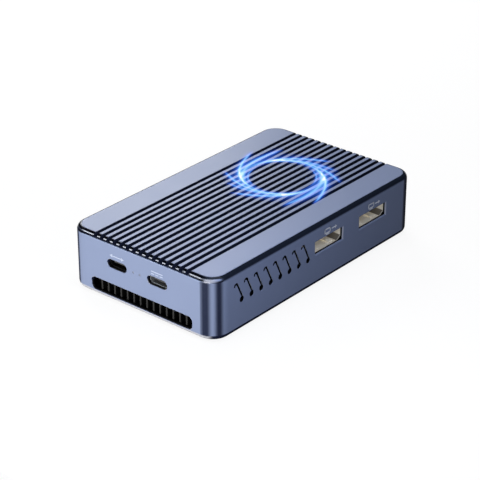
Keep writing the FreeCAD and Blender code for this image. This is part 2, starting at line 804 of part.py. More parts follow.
sink = body_named("heat_sink")
sketch = sketch_on(sink, "sink_outline", "XY_Plane", sink_bottom)
rectangle(sketch, sink_start, sink_end, -sink_side, sink_side)
pad(sink, "sink_plate", sketch, size.sink_base)
sketch = sketch_on(sink, "fin_outline", "YZ_Plane", sink_start)
rectangle(sketch, -sink_side, -sink_side + size.fin_thickness,
          floor + size.air_gap, sink_bottom + size.sink_base / 2)
fin = pad(sink, "fin", sketch, size.sink_length)
repeat_along(sink, "fins", [fin], "Y_Axis", fin_pitch, size.fin_count)
sketch = sketch_on(sink, "sink_boss_outlines", "XY_Plane", sink_bottom + size.sink_base / 2)
for x, y in sink_boss_spots:
    circle(sketch, x, y, size.sink_boss_radius)
pad(sink, "sink_bosses", sketch, board_bottom - sink_bottom - size.sink_base / 2)
sketch = sketch_on(sink, "sink_hole_outlines", "XY_Plane", board_bottom)
for x, y in sink_boss_spots:
    circle(sketch, x, y, size.board_screw_shank + size.thread_gap)
pocket(sink, "sink_holes", sketch, size.sink_screw_grip + size.thread_gap)
group("heat_sink_screws", [
    pan_screw(f"heat_sink_screw_{number}", x, y, board_top, -1, size.board_thickness + size.sink_screw_grip,
              size.board_screw_shank, size.board_screw_head, size.board_screw_head_height)
    for number, (x, y) in enumerate(sink_boss_spots, start=1)])


# Reversible sockets: a drawn steel tube round a moulded root and its thin tongue

def reversible_socket(name, y):
    mouth = end_inside + size.seat_gap
    reach = (size.shell_width - size.shell_height) / 2
    radius = size.shell_height / 2
    shell = body_named(f"{name}_shell")
    sketch = sketch_on(shell, "shell_outline", "YZ_Plane")
    straight_slot(sketch, -reach, sized(0), reach, sized(0), radius)
    pad(shell, "shell_tube", sketch, size.shell_length)
    sketch = sketch_on(shell, "shell_bore_outline", "YZ_Plane")
    straight_slot(sketch, -reach, sized(0), reach, sized(0), radius - size.shell_wall)
    pocket(shell, "shell_bore", sketch, size.shell_length + size.overcut, reverse=True)
    place(shell, mouth, y, socket_level)
    tongue = body_named(f"{name}_tongue")
    sketch = sketch_on(tongue, "root_outline", "YZ_Plane", size.shell_length - size.tongue_root)
    straight_slot(sketch, -reach, sized(0), reach, sized(0), radius - size.shell_wall - size.fit_gap)
    pad(tongue, "tongue_root", sketch, size.tongue_root)
    sketch = sketch_on(tongue, "blade_outline", "YZ_Plane", size.tongue_set_back)
    rectangle(sketch, -size.tongue_width / 2, size.tongue_width / 2,
              -size.tongue_thickness / 2, size.tongue_thickness / 2)
    pad(tongue, "tongue_blade", sketch, size.shell_length - size.tongue_root / 2 - size.tongue_set_back)
    place(tongue, mouth, y, socket_level)


reversible_socket("data_socket", size.data_socket_y)
reversible_socket("power_socket", size.power_socket_y)


# Display sockets: a folded steel shell with two side tabs on the board, and a moulded root with its blade

def display_outline(sketch, grow):
    """Outline round the socket's own middle: a rectangle that loses its lower corner towards +X."""
    side, level = size.display_width / 2 + grow, size.display_height / 2 + grow
    polygon(sketch, (-side, -level), (side - size.display_cut_width, -level),
            (side, size.display_cut_height - level), (side, level), (-side, level))


def display_socket(name, x):
    mouth = side_inside + size.seat_gap
    shell = body_named(f"{name}_shell")
    sketch = sketch_on(shell, "shell_outline", "XZ_Plane")
    display_outline(sketch, size.display_wall)
    pad(shell, "shell_tube", sketch, size.display_length, reverse=True)
    sketch = sketch_on(shell, "shell_bore_outline", "XZ_Plane")
    display_outline(sketch, sized(0))
    pocket(shell, "shell_bore", sketch, size.display_length + size.overcut)
    sketch = sketch_on(shell, "tab_outlines", "XY_Plane", board_top - display_level)
    tab_end = size.display_width / 2 + size.display_wall + size.display_tab_width
    tab_start = size.display_width / 2 + size.display_wall / 2
    tab_near = size.display_length - size.display_tab_length
    rectangle(sketch, tab_start, tab_end, tab_near, size.display_length)
    rectangle(sketch, -tab_end, -tab_start, tab_near, size.display_length)
    pad(shell, "tabs", sketch, size.display_wall)
    place(shell, x, mouth, display_level)
    tongue = body_named(f"{name}_tongue")
    sketch = sketch_on(tongue, "root_outline", "XZ_Plane", -size.display_length)
    display_outline(sketch, -size.fit_gap)
    pad(tongue, "tongue_root", sketch, size.display_root)
    sketch = sketch_on(tongue, "blade_outline", "XZ_Plane", -size.display_blade_set_back)
    rectangle(sketch, -size.display_blade_width / 2, size.display_blade_width / 2,
              -size.display_blade_thickness / 2, size.display_blade_thickness / 2)
    pad(tongue, "tongue_blade", sketch,
        size.display_length - size.display_root / 2 - size.display_blade_set_back, reverse=True)
    place(tongue, x, mouth, display_level)


display_socket("display_socket_1", size.display_1_x)
display_socket("display_socket_2", size.display_2_x)


# Indicator lens: a clear block on the board with two light pipes that end in the wall's holes

lens = body_named("indicator_lens")
sketch = sketch_on(lens, "lens_outline", "XY_Plane", board_top)
lens_side = size.indicator_spacing / 2 + 2 * size.indicator_radius
rectangle(sketch, board_left, board_left + size.lens_block_length,
          size.indicator_y - lens_side, size.indicator_y + lens_side)
pad(lens, "lens_block", sketch, indicator_level + 2 * size.indicator_radius - board_top)
sketch = sketch_on(lens, "pipe_outlines", "YZ_Plane", -half_length + size.thread_gap)
for side in (-1, 1):
    pipe_y = size.indicator_y + side * size.indicator_spacing / 2
    circle(sketch, pipe_y, indicator_level, size.indicator_radius)
pad(lens, "light_pipes", sketch, board_left + half_length + size.lens_block_length / 2)


# Fan frame: a square moulding with a round chamber, an air outlet and a spoked hub for the bearing

def place_fan(item):
    return place(item, size.fan_x, size.fan_y, board_top)


frame = body_named("fan_frame")
sketch = sketch_on(frame, "frame_outline", "XY_Plane")
rounded_rectangle(sketch, -size.fan_half_side, size.fan_half_side,
                  -size.fan_half_side, size.fan_half_side, size.fan_corner)
pad(frame, "frame_block", sketch, fan_height)
sketch = sketch_on(frame, "chamber_outline", "XY_Plane", size.fan_base)
circle(sketch, 0, 0, size.fan_chamber)
pocket(frame, "chamber", sketch, fan_height, reverse=True)
sketch = sketch_on(frame, "outlet_outline", "XY_Plane", size.fan_base)
rectangle(sketch, -size.fan_half_side - size.overcut, sized(0), -size.fan_chamber + size.fan_base,
          -size.fan_outlet_edge)
pocket(frame, "outlet", sketch, fan_height, reverse=True)
sketch = sketch_on(frame, "window_outline", "XY_Plane", size.fan_base)
circle(sketch, 0, 0, size.fan_window_outer)
circle(sketch, 0, 0, size.fan_window_inner)
pocket(frame, "window", sketch, size.fan_base + size.overcut)
sketch = sketch_on(frame, "spoke_outline", "XY_Plane")
rectangle(sketch, size.fan_window_inner - size.overcut, size.fan_window_outer + size.overcut,
          -size.spoke_width / 2, size.spoke_width / 2)
spoke = pad(frame, "spoke", sketch, size.fan_base)
repeat_round(frame, "spokes", [spoke], size.spoke_count)
sketch = sketch_on(frame, "bearing_tube_outline", "XY_Plane")
circle(sketch, 0, 0, size.bearing_tube)
pad(frame, "bearing_tube", sketch, size.bearing_floor + size.bearing_height)
sketch = sketch_on(frame, "bearing_bore_outline", "XY_Plane", size.bearing_floor)
circle(sketch, 0, 0, size.bearing_radius + size.fit_gap)
pocket(frame, "bearing_bore", sketch, size.bearing_height + size.overcut, reverse=True)
sketch = sketch_on(frame, "frame_hole_outlines", "XY_Plane")
for x, y in fan_screw_spots:
    circle(sketch, x, y, size.fan_screw_shank + size.thread_gap)
pocket(frame, "frame_holes", sketch, size.fan_screw_grip + size.thread_gap, reverse=True)
place_fan(frame)

lid = body_named("fan_lid")
sketch = sketch_on(lid, "lid_outline", "XY_Plane", fan_height)
rounded_rectangle(sketch, -size.fan_half_side, size.fan_half_side,
                  -size.fan_half_side, size.fan_half_side, size.fan_corner)
circle(sketch, 0, 0, size.fan_lid_inlet)
pad(lid, "lid_plate", sketch, size.fan_lid_thickness)
place_fan(lid)

group("fan_screws", [
    pan_screw(f"fan_screw_{number}", size.fan_x + x, size.fan_y + y, board_bottom, 1,
              size.board_thickness + size.fan_screw_grip, size.fan_screw_shank,
              size.fan_screw_head, size.fan_screw_head_height)
    for number, (x, y) in enumerate(fan_screw_spots, start=1)])


# Fan rotor: a moulded cup with curved blades, a magnet ring inside the cup and a steel shaft

rotor_low = size.fan_base + size.running_gap
rotor_high = fan_height - size.running_gap
impeller = body_named("fan_impeller")
sketch = sketch_on(impeller, "hub_profile", "XZ_Plane")
polygon(sketch, (size.shaft_radius, rotor_high - size.hub_plate),
        (size.hub_radius - size.hub_wall, rotor_high - size.hub_plate),
        (size.hub_radius - size.hub_wall, rotor_low), (size.hub_radius, rotor_low),
        (size.hub_radius, rotor_high), (size.shaft_radius, rotor_high))
revolve(impeller, "hub", sketch)
sketch = sketch_on(impeller, "blade_outline", "XY_Plane", rotor_low)
blade_root = size.hub_radius - size.hub_wall / 2
tip_drop = (size.blade_bend * size.blade_bend - size.blade_reach * size.blade_reach).root()
blade_tip = (blade_root + size.blade_reach, tip_drop - size.blade_bend)
curved_slot(sketch, blade_root, -size.blade_bend, size.blade_bend, size.blade_thickness,
            blade_tip, (blade_root, sized(0)), "DistanceX")
blade = pad(impeller, "blade", sketch, rotor_high - rotor_low)
repeat_round(impeller, "blades", [blade], size.blade_count)
place_fan(impeller)

axis_x, axis_y = size.fan_x, size.fan_y
magnet_outer = size.hub_radius - size.hub_wall - size.fit_gap
magnet_low = board_top + rotor_high - size.hub_plate - size.magnet_height
magnet_high = board_top + rotor_high - size.hub_plate
magnet_blank = cylinder("magnet_blank", axis_x, axis_y, magnet_low, magnet_high, magnet_outer)
magnet_bore = cylinder("magnet_bore", axis_x, axis_y, magnet_low, magnet_high,
                       magnet_outer - size.magnet_thickness)
keep(cut("fan_magnet", magnet_blank, magnet_bore), "fan_magnet")
shaft_low = board_top + size.bearing_floor + size.thread_gap
shaft_high = board_top + rotor_high
keep(cylinder("fan_shaft", axis_x, axis_y, shaft_low, shaft_high, size.shaft_radius), "fan_shaft")


# Fan stator: the bearing sleeve in its tube, and a toothed core with a coil on each tooth

bearing_low = board_top + size.bearing_floor
bearing_high = bearing_low + size.bearing_height
bearing_blank = cylinder("bearing_blank", axis_x, axis_y, bearing_low, bearing_high, size.bearing_radius)
bearing_bore = cylinder("bearing_bore", axis_x, axis_y, bearing_low, bearing_high,
                        size.shaft_radius + size.shaft_clearance)
keep(cut("fan_bearing", bearing_blank, bearing_bore), "fan_bearing")

stator_low = size.fan_base + size.stator_lift
stator_high = stator_low + size.stator_height
stator = body_named("fan_stator")
sketch = sketch_on(stator, "core_outline", "XY_Plane", size.fan_base)
circle(sketch, 0, 0, size.stator_ring)
circle(sketch, 0, 0, size.bearing_tube + size.fit_gap)
pad(stator, "core", sketch, stator_high - size.fan_base)
sketch = sketch_on(stator, "tooth_outline", "XY_Plane", stator_low)
core_middle = (size.stator_ring + size.bearing_tube) / 2
rectangle(sketch, core_middle, size.stator_reach, -size.tooth_width / 2, size.tooth_width / 2)
tooth = pad(stator, "tooth", sketch, size.stator_height)
repeat_round(stator, "teeth", [tooth], size.tooth_count)
place_fan(stator)

coils = []
for number in range(int(driving["tooth_count"])):
    coil_side = size.tooth_width / 2 + size.coil_thickness
    winding = box(f"winding_{number}", size.coil_start, size.coil_end, -coil_side, coil_side,
                  stator_low - size.coil_thickness, stator_high + size.coil_thickness)
    tooth_space = box(f"tooth_space_{number}", size.coil_start, size.coil_end,
                      -size.tooth_width / 2 - size.fit_gap, size.tooth_width / 2 + size.fit_gap,
                      stator_low - size.fit_gap, stator_high + size.fit_gap)
    coil = cut(f"coil_{number}", winding, tooth_space)
    coil.Placement.Rotation = FreeCAD.Rotation(UP, 360 * number / driving["tooth_count"])
    coils.append(place_fan(coil))
group("fan_coils", coils)

# Fan lead: a short flat lead along the board from the frame to its connector
lead_near = size.fan_y + size.fan_half_side
lead_far = lead_near + size.fan_lead_length
keep(box("fan_lead", axis_x - size.fan_lead_width / 2, axis_x + size.fan_lead_width / 2,
         lead_near, lead_far, board_top, board_top + size.fan_lead_thickness), "fan_lead")
keep(box("fan_connector", axis_x - size.fan_connector_side / 2, axis_x + size.fan_connector_side / 2,
         lead_far, lead_far + size.fan_connector_side, board_top, board_top + size.fan_connector_height),
     "fan_connector")


# Light ring: a clear guide against the ceiling, lit by emitters on a flexible ring board over the fan

guide_blank = cylinder("guide_blank", axis_x, axis_y, light_board_top, ceiling, size.light_guide_outer)
guide_bore = cylinder("guide_bore", axis_x, axis_y, light_board_top, ceiling, size.light_guide_inner)
keep(cut("light_guide", guide_blank, guide_bore), "light_guide")
ring_blank = cylinder("ring_blank", axis_x, axis_y, light_board_bottom, light_board_top,
                      size.light_guide_outer)
tail_right = axis_x + size.fan_half_side / 2
tail_near = axis_y + size.fan_half_side + size.light_tail_gap
tail_far = tail_near + size.light_board_thickness
tail_top = box("tail_top", tail_right - size.light_tail_width, tail_right, axis_y + size.light_board_inner,
               tail_far, light_board_bottom, light_board_top)
tail_drop = box("tail_drop", tail_right - size.light_tail_width, tail_right, tail_near, tail_far,
                board_top, light_board_top)
ring_bore = cylinder("ring_bore", axis_x, axis_y, light_board_bottom, light_board_top,
                     size.light_board_inner)
flexible_blank = fuse("flexible_blank", ring_blank, tail_top, tail_drop)
keep(cut("light_board", flexible_blank, ring_bore), "light_board")

emitters = []
for number in range(int(driving["emitter_count"])):
    emitter = box(f"emitter_{number}", size.emitter_radius - size.emitter_depth / 2,
                  size.emitter_radius + size.emitter_depth / 2, -size.emitter_width / 2,
                  size.emitter_width / 2, light_board_top, light_board_top + size.emitter_height)
    turned = doc.addObject("Part::Compound", f"turned_emitter_{number}")
    turned.Links = [emitter]
    turned.Placement.Rotation = FreeCAD.Rotation(UP, 360 * number / driving["emitter_count"])
    emitters.append(place(turned, axis_x, axis_y, 0))
group("light_emitters", emitters)


# Checks and files

doc.recompute()
for item in doc.Objects:
    if "Invalid" in item.State or "Error" in item.State:
        raise ValueError(f"{item.Name} failed: {item.State}")
for piece in pieces:
    if piece.Shape.isNull() or not piece.Shape.isValid() or not piece.Shape.Solids:
        raise ValueError(f"{piece.Label} has no valid solid")
os.makedirs("parts", exist_ok=True)
for piece in pieces:
    piece.Shape.exportStep(os.path.join("parts", f"{piece.Label}.step"))
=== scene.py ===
import math

import bmesh
import bpy
from mathutils import Matrix, Vector


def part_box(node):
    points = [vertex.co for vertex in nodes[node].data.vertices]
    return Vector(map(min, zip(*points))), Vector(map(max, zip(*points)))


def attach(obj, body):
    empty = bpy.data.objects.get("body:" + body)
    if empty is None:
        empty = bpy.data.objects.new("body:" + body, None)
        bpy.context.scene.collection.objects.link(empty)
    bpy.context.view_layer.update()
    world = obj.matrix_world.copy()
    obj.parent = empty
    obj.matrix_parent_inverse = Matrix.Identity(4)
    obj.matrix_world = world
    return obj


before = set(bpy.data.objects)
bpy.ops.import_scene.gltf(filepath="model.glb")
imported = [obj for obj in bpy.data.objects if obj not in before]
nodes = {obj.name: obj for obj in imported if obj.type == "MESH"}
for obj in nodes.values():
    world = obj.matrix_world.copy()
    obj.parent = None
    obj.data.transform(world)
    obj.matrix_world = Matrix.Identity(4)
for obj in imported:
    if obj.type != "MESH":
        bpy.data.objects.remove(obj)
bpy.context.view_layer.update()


# Housing: one aluminium case with long cooling grooves milled in its top, bead-blasted and
# anodised blue-grey. Every other piece is fixed in or under it, and a plate closes it from below.

MM = 0.001
case_low, case_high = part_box("housing")
groove_count = 15
groove_pitch = 3.22 * MM
groove_width = 1.6 * MM
groove_depth = 1.4 * MM
groove_lip = 0.09 * MM
lip_fade = 0.06 * MM
anodised_blue = (0.235, 0.284, 0.428, 1)
anodised_pale = (0.262, 0.314, 0.462, 1)
groove_shade_black = (0.010, 0.014, 0.036, 1)
cloud_grain = 14 * MM
blast_grain = 0.09 * MM
blast_depth = 0.012 * MM
blasted_roughness = 0.34


class Shade:
    """One socket of a material's nodes. Arithmetic on it adds Math nodes."""

    def __init__(self, tree, socket=None):
        self.tree = tree
        self.socket = socket

    def node(self, kind, settings=None, inputs=None, output=0):
        """Adds a node of any type: its settings first, then the values or links of its sockets."""
        made = self.tree.nodes.new(kind)
        for name, value in (settings or {}).items():
            if name == "stops":
                for place, colour in value:
                    stop = made.color_ramp.elements.new(place)
                    stop.color = colour
            else:
                setattr(made, name, value)
        for name, value in (inputs or {}).items():
            if isinstance(value, Shade):
                self.tree.links.new(value.socket, made.inputs[name])
            else:
                made.inputs[name].default_value = value
        return Shade(self.tree, made.outputs[output] if made.outputs else None)

    def maths(self, operation, *values):
        return self.node("ShaderNodeMath", {"operation": operation}, dict(enumerate(values)))

    def __add__(self, other):
        return self.maths("ADD", self, other)

    def __radd__(self, other):
        return self.maths("ADD", other, self)

    def __sub__(self, other):
        return self.maths("SUBTRACT", self, other)

    def __rsub__(self, other):
        return self.maths("SUBTRACT", other, self)

    def __mul__(self, other):
        return self.maths("MULTIPLY", self, other)

    def __rmul__(self, other):
        return self.maths("MULTIPLY", other, self)

    def __truediv__(self, other):
        return self.maths("DIVIDE", self, other)

    def __rtruediv__(self, other):
        return self.maths("DIVIDE", other, self)

    def __pow__(self, other):
        return self.maths("POWER", self, other)

    def __rpow__(self, other):
        return self.maths("POWER", other, self)

    def __mod__(self, other):
        return self.maths("FLOORED_MODULO", self, other)

    def __rmod__(self, other):
        return self.maths("FLOORED_MODULO", other, self)

    def __abs__(self):
        return self.maths("ABSOLUTE", self)


def rise(value, low, high):
    """Climbs smoothly from 0 at low to 1 at high."""
    return value.node("ShaderNodeMapRange", {"interpolation_type": "SMOOTHSTEP"},
                      {"Value": value, "From Min": low, "From Max": high})


def mixed(factor, first, last):
    """Colour that goes from first to last as the factor goes from 0 to 1."""
    return factor.node("ShaderNodeMix", {"data_type": "RGBA"}, {0: factor, 6: first, 7: last}, 2)


def new_finish(name):
    """An empty material, and its object coordinates in metres as a vector and as x, y and z."""
    material = bpy.data.materials.new(name)
    material.use_nodes = True
    material.node_tree.nodes.clear()
    place = Shade(material.node_tree).node("ShaderNodeTexCoord", output="Object")
    axes = [place.node("ShaderNodeSeparateXYZ", None, {0: place}, axis) for axis in range(3)]
    return material, place, axes


def noise(place, grain, detail=3.0, stretch=(1, 1, 1)):
    """Noise whose patches are about as wide as the grain, drawn out along an axis by a stretch below 1."""
    drawn = place.node("ShaderNodeVectorMath", {"operation": "MULTIPLY"}, {0: place, 1: stretch})
    return place.node("ShaderNodeTexNoise", None, {"Vector": drawn, "Scale": 1 / grain, "Detail": detail})


def bumped(height, depth, strength=1.0):
    return height.node("ShaderNodeBump", None, {"Height": height, "Distance": depth, "Strength": strength})


def glossy_body(shade, **sockets):
    """The main shader, with its sockets named with underscores for spaces."""
    inputs = {name.replace("_", " "): value for name, value in sockets.items()}
    return shade.node("ShaderNodeBsdfPrincipled", None, inputs)


def show(shader):
    shader.node("ShaderNodeOutputMaterial", {}, {"Surface": shader})


def dress(material, *names):
    for name in names:
        nodes[name].material_slots[0].material = material


def anodised(place):
    """Colour, roughness and normal of bead-blasted, anodised aluminium."""
    cloud = noise(place, cloud_grain, 2)
    speck = noise(place, blast_grain, 2)
    colour = mixed(0.6 * cloud + 0.4 * speck, anodised_blue, anodised_pale)
    return colour, blasted_roughness + 0.08 * cloud + 0.05 * speck, bumped(speck, blast_depth, 0.5)


case_finish, place, (x, y, z) = new_finish("anodised_case")
colour, roughness, normal = anodised(place)
half_pitch = groove_pitch / 2
lip = groove_width / 2 + groove_lip
groove_floor = case_high.z - groove_depth
across = abs((y + half_pitch) % groove_pitch - half_pitch)
in_field = 1 - rise(abs(y), (groove_count - 0.5) * half_pitch, (groove_count + 0.1) * half_pitch)
in_groove = in_field * (1 - rise(across, lip, lip + lip_fade))
above_floor = rise(z, groove_floor - 0.15 * MM, groove_floor - 0.05 * MM)
# The grooves, and a thin lip over their edges, are painted near black as the shade that falls in them.
groove_mask = in_groove * above_floor


# Streaks and edges of the housing, with reflections and shade painted in: a dark reflection is
# painted along the upper edge and in streaks down the rounded corners. Over the ends the crest of
# that edge is polished metal and partly a painted highlight, and the lower rim a painted pale
# reflection, while along the sides it is painted dark. Cut walls and the inside carry painted black
# shade, but for a painted pale highlight on a lip by each display.

case_corner = 7.2 * MM
case_edge = 2.1 * MM
corner_fade = 0.3 * MM
edge_foot = case_high.z - case_edge
inner_floor = case_low.z + 1.5 * MM
inner_roof = case_high.z - 1.6 * MM
display_start = -3.6 * MM
lip_depth = 0.4 * MM
reflection_streak_blue = (0.014, 0.019, 0.045, 1)
edge_reflection_dark = (0.004, 0.007, 0.014, 1)
inside_shade_black = (0.003, 0.003, 0.004, 1)
polished_highlight_metal = (0.60, 0.63, 0.70, 1)
pale_highlight = (0.58, 0.58, 0.62, 1)
end_streak = math.radians(18)
side_streak = math.radians(59)
broad_streak = math.radians(54)
corner_highlight_bearing = math.radians(28)
crest_tilt = 0.62
corner_highlight_tilt = 0.48


def band(value, middle, core, edge):
    """1 within core of the middle, fading to 0 at edge."""
    return 1 - rise(abs(value - middle), core, edge)


# The heading of a wall is 0 where it faces an end and a right angle where it faces a side, and
# within is the depth below the outer skin.
facing = place.node("ShaderNodeTexCoord", output="Normal")
nx, ny, nz = [place.node("ShaderNodeSeparateXYZ", None, {0: facing}, axis) for axis in range(3)]
heading = place.maths("ARCTAN2", abs(ny), abs(nx))
past_x, past_y = [place.maths("MAXIMUM", abs(axis) - (high - case_corner), 0)
                  for axis, high in ((x, case_high.x), (y, case_high.y))]
within = case_corner - (past_x * past_x + past_y * past_y) ** 0.5
over_ends = rise(abs(nx), 0.15, 0.4)
along_sides = rise(heading, math.radians(25), math.radians(45))

# Two corners on one diagonal have two streaks of painted dark reflection and a painted pale highlight
# on the upper edge, and the other two have one broad, matt streak, also a painted dark reflection.
at_corner = rise(past_x, 0, corner_fade) * rise(past_y, 0, corner_fade)
upright = at_corner * (1 - rise(abs(nz), 0.25, 0.6))
two_bands = (0.97 * band(heading, end_streak, core=0.096, edge=0.38)
             + 0.98 * band(heading, side_streak, core=0.044, edge=0.31))
one_band = 0.96 * band(heading, broad_streak, core=0.40, edge=0.66)
on_diagonal = rise(x * y, -MM * MM, MM * MM)
# The streaks down the corners are painted dark reflections.
streaks = upright * (one_band + (two_bands - one_band) * on_diagonal)
round_corner = (rise(heading, math.radians(4), math.radians(24))
                * (1 - rise(heading, math.radians(52), math.radians(80))))
# A painted pale highlight lies on the upper edge of the two corners on one diagonal, and lifts the painted
# dark edge there.
corner_highlight = on_diagonal * round_corner * band(nz, corner_highlight_tilt, core=0.14, edge=0.32) * (1 - groove_mask)

# The upper edge is painted near black as a dark reflection, in dark metal over the ends.
upper_edge_reflection = (rise(nz, 0.02 + 0.12 * over_ends, 0.5 - 0.28 * over_ends) * (1 - rise(nz, 0.975, 0.992))
              * rise(z, edge_foot - 0.2 * MM, edge_foot) * (1 - 0.85 * corner_highlight))
# The crest is pale polished metal that mirrors the lamps, and in part a painted highlight, as it is kept
# to the ends and to the tilt where the lamps catch it.
crest = (upper_edge_reflection * band(nz, crest_tilt, core=0.06, edge=0.14) * rise(abs(nx), 0.33, 0.66)
         * (1 - groove_mask))
# The lower edge is painted as a reflection: pale over the ends, dark and matt along the sides.
lower_edge_reflection = ((1 - rise(nz, 0.21 * along_sides - 0.25, -0.01)) * rise(nz, -0.98, -0.9)
              * (1 - rise(within, case_edge - 0.1 * MM, case_edge)))
matt_dark_reflection = lower_edge_reflection * along_sides + upright * one_band * (1 - on_diagonal)

by_displays = rise(x, display_start, display_start + 0.2 * MM)
between_edges = (rise(z, inner_floor, inner_floor + 0.1 * MM)
                 * (1 - rise(z, inner_roof - 0.15 * MM, inner_roof)))
# Cut walls and the inside of the case are painted near black as the shade in them.
inside = rise(within - 0.3 * MM * by_displays, 0.1 * MM, 0.18 * MM) * between_edges
# A painted pale highlight on the lip of each display opening that faces the socket end.
lip_highlight = by_displays * rise(nx * -1, 0.4, 0.6) * (1 - rise(within, lip_depth, lip_depth + 0.1 * MM))

colour = mixed(0.97 * upper_edge_reflection, mixed(streaks, colour, reflection_streak_blue), edge_reflection_dark)
colour = mixed(0.6 * corner_highlight * band(heading, corner_highlight_bearing, core=0.10, edge=0.60), colour, pale_highlight)
colour = mixed(lower_edge_reflection, colour, mixed(along_sides, pale_highlight, edge_reflection_dark))
colour = mixed(0.6 * lip_highlight, colour, pale_highlight)
colour = mixed(inside, colour, inside_shade_black)
colour = mixed(groove_mask, mixed(crest, colour, polished_highlight_metal), groove_shade_black)
roughness = roughness + 0.4 * groove_mask - 0.14 * streaks - 0.18 * upper_edge_reflection


# Light of the ring over the fan: it shows through the top as strands that leave the ring and wind
# outward, clockwise as seen from above, each with a twin half a turn away. Radii and widths are in
# millimetres. On the walls of the grooves the strands are shifted along a slant, to run on unbroken.

ring_centre = Vector((22.3, 0.6)) * MM
ring_radius = 14.5
haze_reach = 23.5
strand_ease = math.radians(24)
tip_fade = math.radians(14)
root_start = math.radians(75)
root_end = math.radians(135)
halo_width = 2.6
slant = Vector((1.48, 1.25))
glow_stops = [(0.10, (0.004, 0.024, 0.18, 1)), (0.30, (0.035, 0.13, 0.60, 1)),
              (0.62, (0.15, 0.43, 0.90, 1)), (0.95, (0.50, 0.82, 1.0, 1))]
aslant = ny * place.maths("MAXIMUM", case_high.z - z, 0)
sweep = [(axis + lean * aslant - middle) / MM for axis, lean, middle in zip((x, y), slant, ring_centre)]
radius = (sweep[0] * sweep[0] + sweep[1] * sweep[1]) ** 0.5
angle = place.maths("ARCTAN2", sweep[1], sweep[0])


def hump(value, width):
    return math.e ** ((value / width) * (value / width) * -1)


def strand(tip, reach, width, strength):
    """A pair of strands that end at the tip's angle and reach, and join the ring behind it."""
    behind = (angle - math.radians(tip)) % math.pi
    path = ring_radius + (reach - ring_radius) * 0.5 ** (behind / strand_ease)
    along = rise(behind, 0, tip_fade) * (1 - rise(behind, root_start, root_end))
    return strength * along * (hump(radius - path, width) + 0.4 * hump(radius - path, halo_width * width))


def hot_spot(bearing, reach, spread=0.16, width=0.9):
    """A pair of bright spots half a turn apart, at a bearing in degrees and a reach from the middle."""
    turned = (angle - math.radians(bearing) + math.pi / 2) % math.pi - math.pi / 2
    return hump(turned, spread) * hump(radius - reach, width)


strands = (strand(tip=63, reach=27.2, width=0.6, strength=0.52)
           + strand(tip=36, reach=26.0, width=0.9, strength=0.42)
           + strand(tip=-18, reach=25.0, width=0.65, strength=0.44)
           + strand(tip=-40, reach=22.8, width=0.55, strength=0.30)
           + strand(tip=-66, reach=23.7, width=0.6, strength=0.42))
haze = rise(radius, ring_radius - 1.2, ring_radius + 0.4) * (1 - rise(radius, ring_radius + 3, haze_reach))
glow = (strands + 0.12 * haze + 0.35 * hot_spot(bearing=44, reach=15.8)
        + 0.25 * hot_spot(bearing=121, reach=16.2)
        + 0.48 * hot_spot(bearing=128, reach=13.4, spread=0.6, width=0.45))
glow = glow * (0.75 + 0.25 * groove_mask) * rise(z, groove_floor - 0.2 * MM, groove_floor - 0.1 * MM)
glow_colour = glow.node("ShaderNodeValToRGB", {"stops": glow_stops}, {"Fac": glow})
anodised_body = glossy_body(place, Base_Color=colour, Roughness=roughness, Normal=normal,
                            Metallic=0.05 + 0.95 * upper_edge_reflection * over_ends, Specular_IOR_Level=0.2,
                            Emission_Color=glow_colour, Emission_Strength=1.0)
# Plain matt dark for the painted dark reflection of the lower side edges and the broad corner streak.
matt_body = place.node("ShaderNodeBsdfDiffuse", None, {"Color": reflection_streak_blue})
show(place.node("ShaderNodeMixShader", None, {0: 0.85 * matt_dark_reflection, 1: anodised_body, 2: matt_body}))
dress(case_finish, "housing")


# Main board: a solder-masked glass laminate, notched round the posts and screwed to the
# bosses under the top. Copper tracks and vias show as paler lines and dots under the mask.

mask_green = (0.008, 0.052, 0.034, 1)
track_green = (0.020, 0.110, 0.062, 1)
track_pitch = 0.9 * MM
track_lean = 0.35
track_wander = 4 * MM
via_spacing = 2.6 * MM
copper_rise = 0.03 * MM
laminate, place, (x, y, z) = new_finish("solder_mask")
wander = noise(place, 6 * MM, 1)
track = abs(((x + y * track_lean + wander * track_wander) / track_pitch) % 1 - 0.5)
track_mask = (1 - rise(track, 0.12, 0.2)) * rise(wander, 0.42, 0.5)
via = place.node("ShaderNodeTexVoronoi", None, {"Vector": place, "Scale": 1 / via_spacing})
via_mask = 1 - rise(via, 0.09, 0.13)
copper_mask = place.maths("MAXIMUM", track_mask, via_mask)
show(glossy_body(place, Base_Color=mixed(copper_mask, mask_green, track_green),
                 Roughness=0.3 + 0.12 * wander, Normal=bumped(copper_mask, copper_rise, 0.5)))
dress(laminate, "main_board")


# Screws: blackened steel, turned and rolled, with a hexagon drive in the countersunk cover
# screws. The same finish is on the small pan-head screws that hold the board, sink and fan.

mark_depth = 0.01 * MM


def worked_metal(name, dark, light, grain, stretch, roughness, metallic=1.0, glint=0.0):
    """Metal with fine tool marks: colour, roughness and bump follow noise drawn out along the marks."""
    material, place, _ = new_finish(name)
    marks = noise(place, grain, 3, stretch)
    patches = noise(place, 20 * grain, 2)
    show(glossy_body(place, Base_Color=mixed(0.5 * marks + 0.5 * patches, dark, light), Metallic=metallic,
                     Roughness=roughness + 0.15 * marks, Normal=bumped(marks, mark_depth, 0.5),
                     Emission_Color=light, Emission_Strength=glint))
    return material


blackened = worked_metal("blackened_steel", dark=(0.035, 0.035, 0.04, 1), light=(0.075, 0.075, 0.085, 1),
                         grain=0.15 * MM, stretch=(1, 1, 3), roughness=0.32, metallic=0.85)
dress(blackened, "cover_screws", "board_screws", "heat_sink_screws", "fan_screws")


# Chips and their pads: black moulded packages soldered under the board, each pressed through
# a soft silicone pad to the heat sink. Mould grain on the packages, fine filler in the pads.

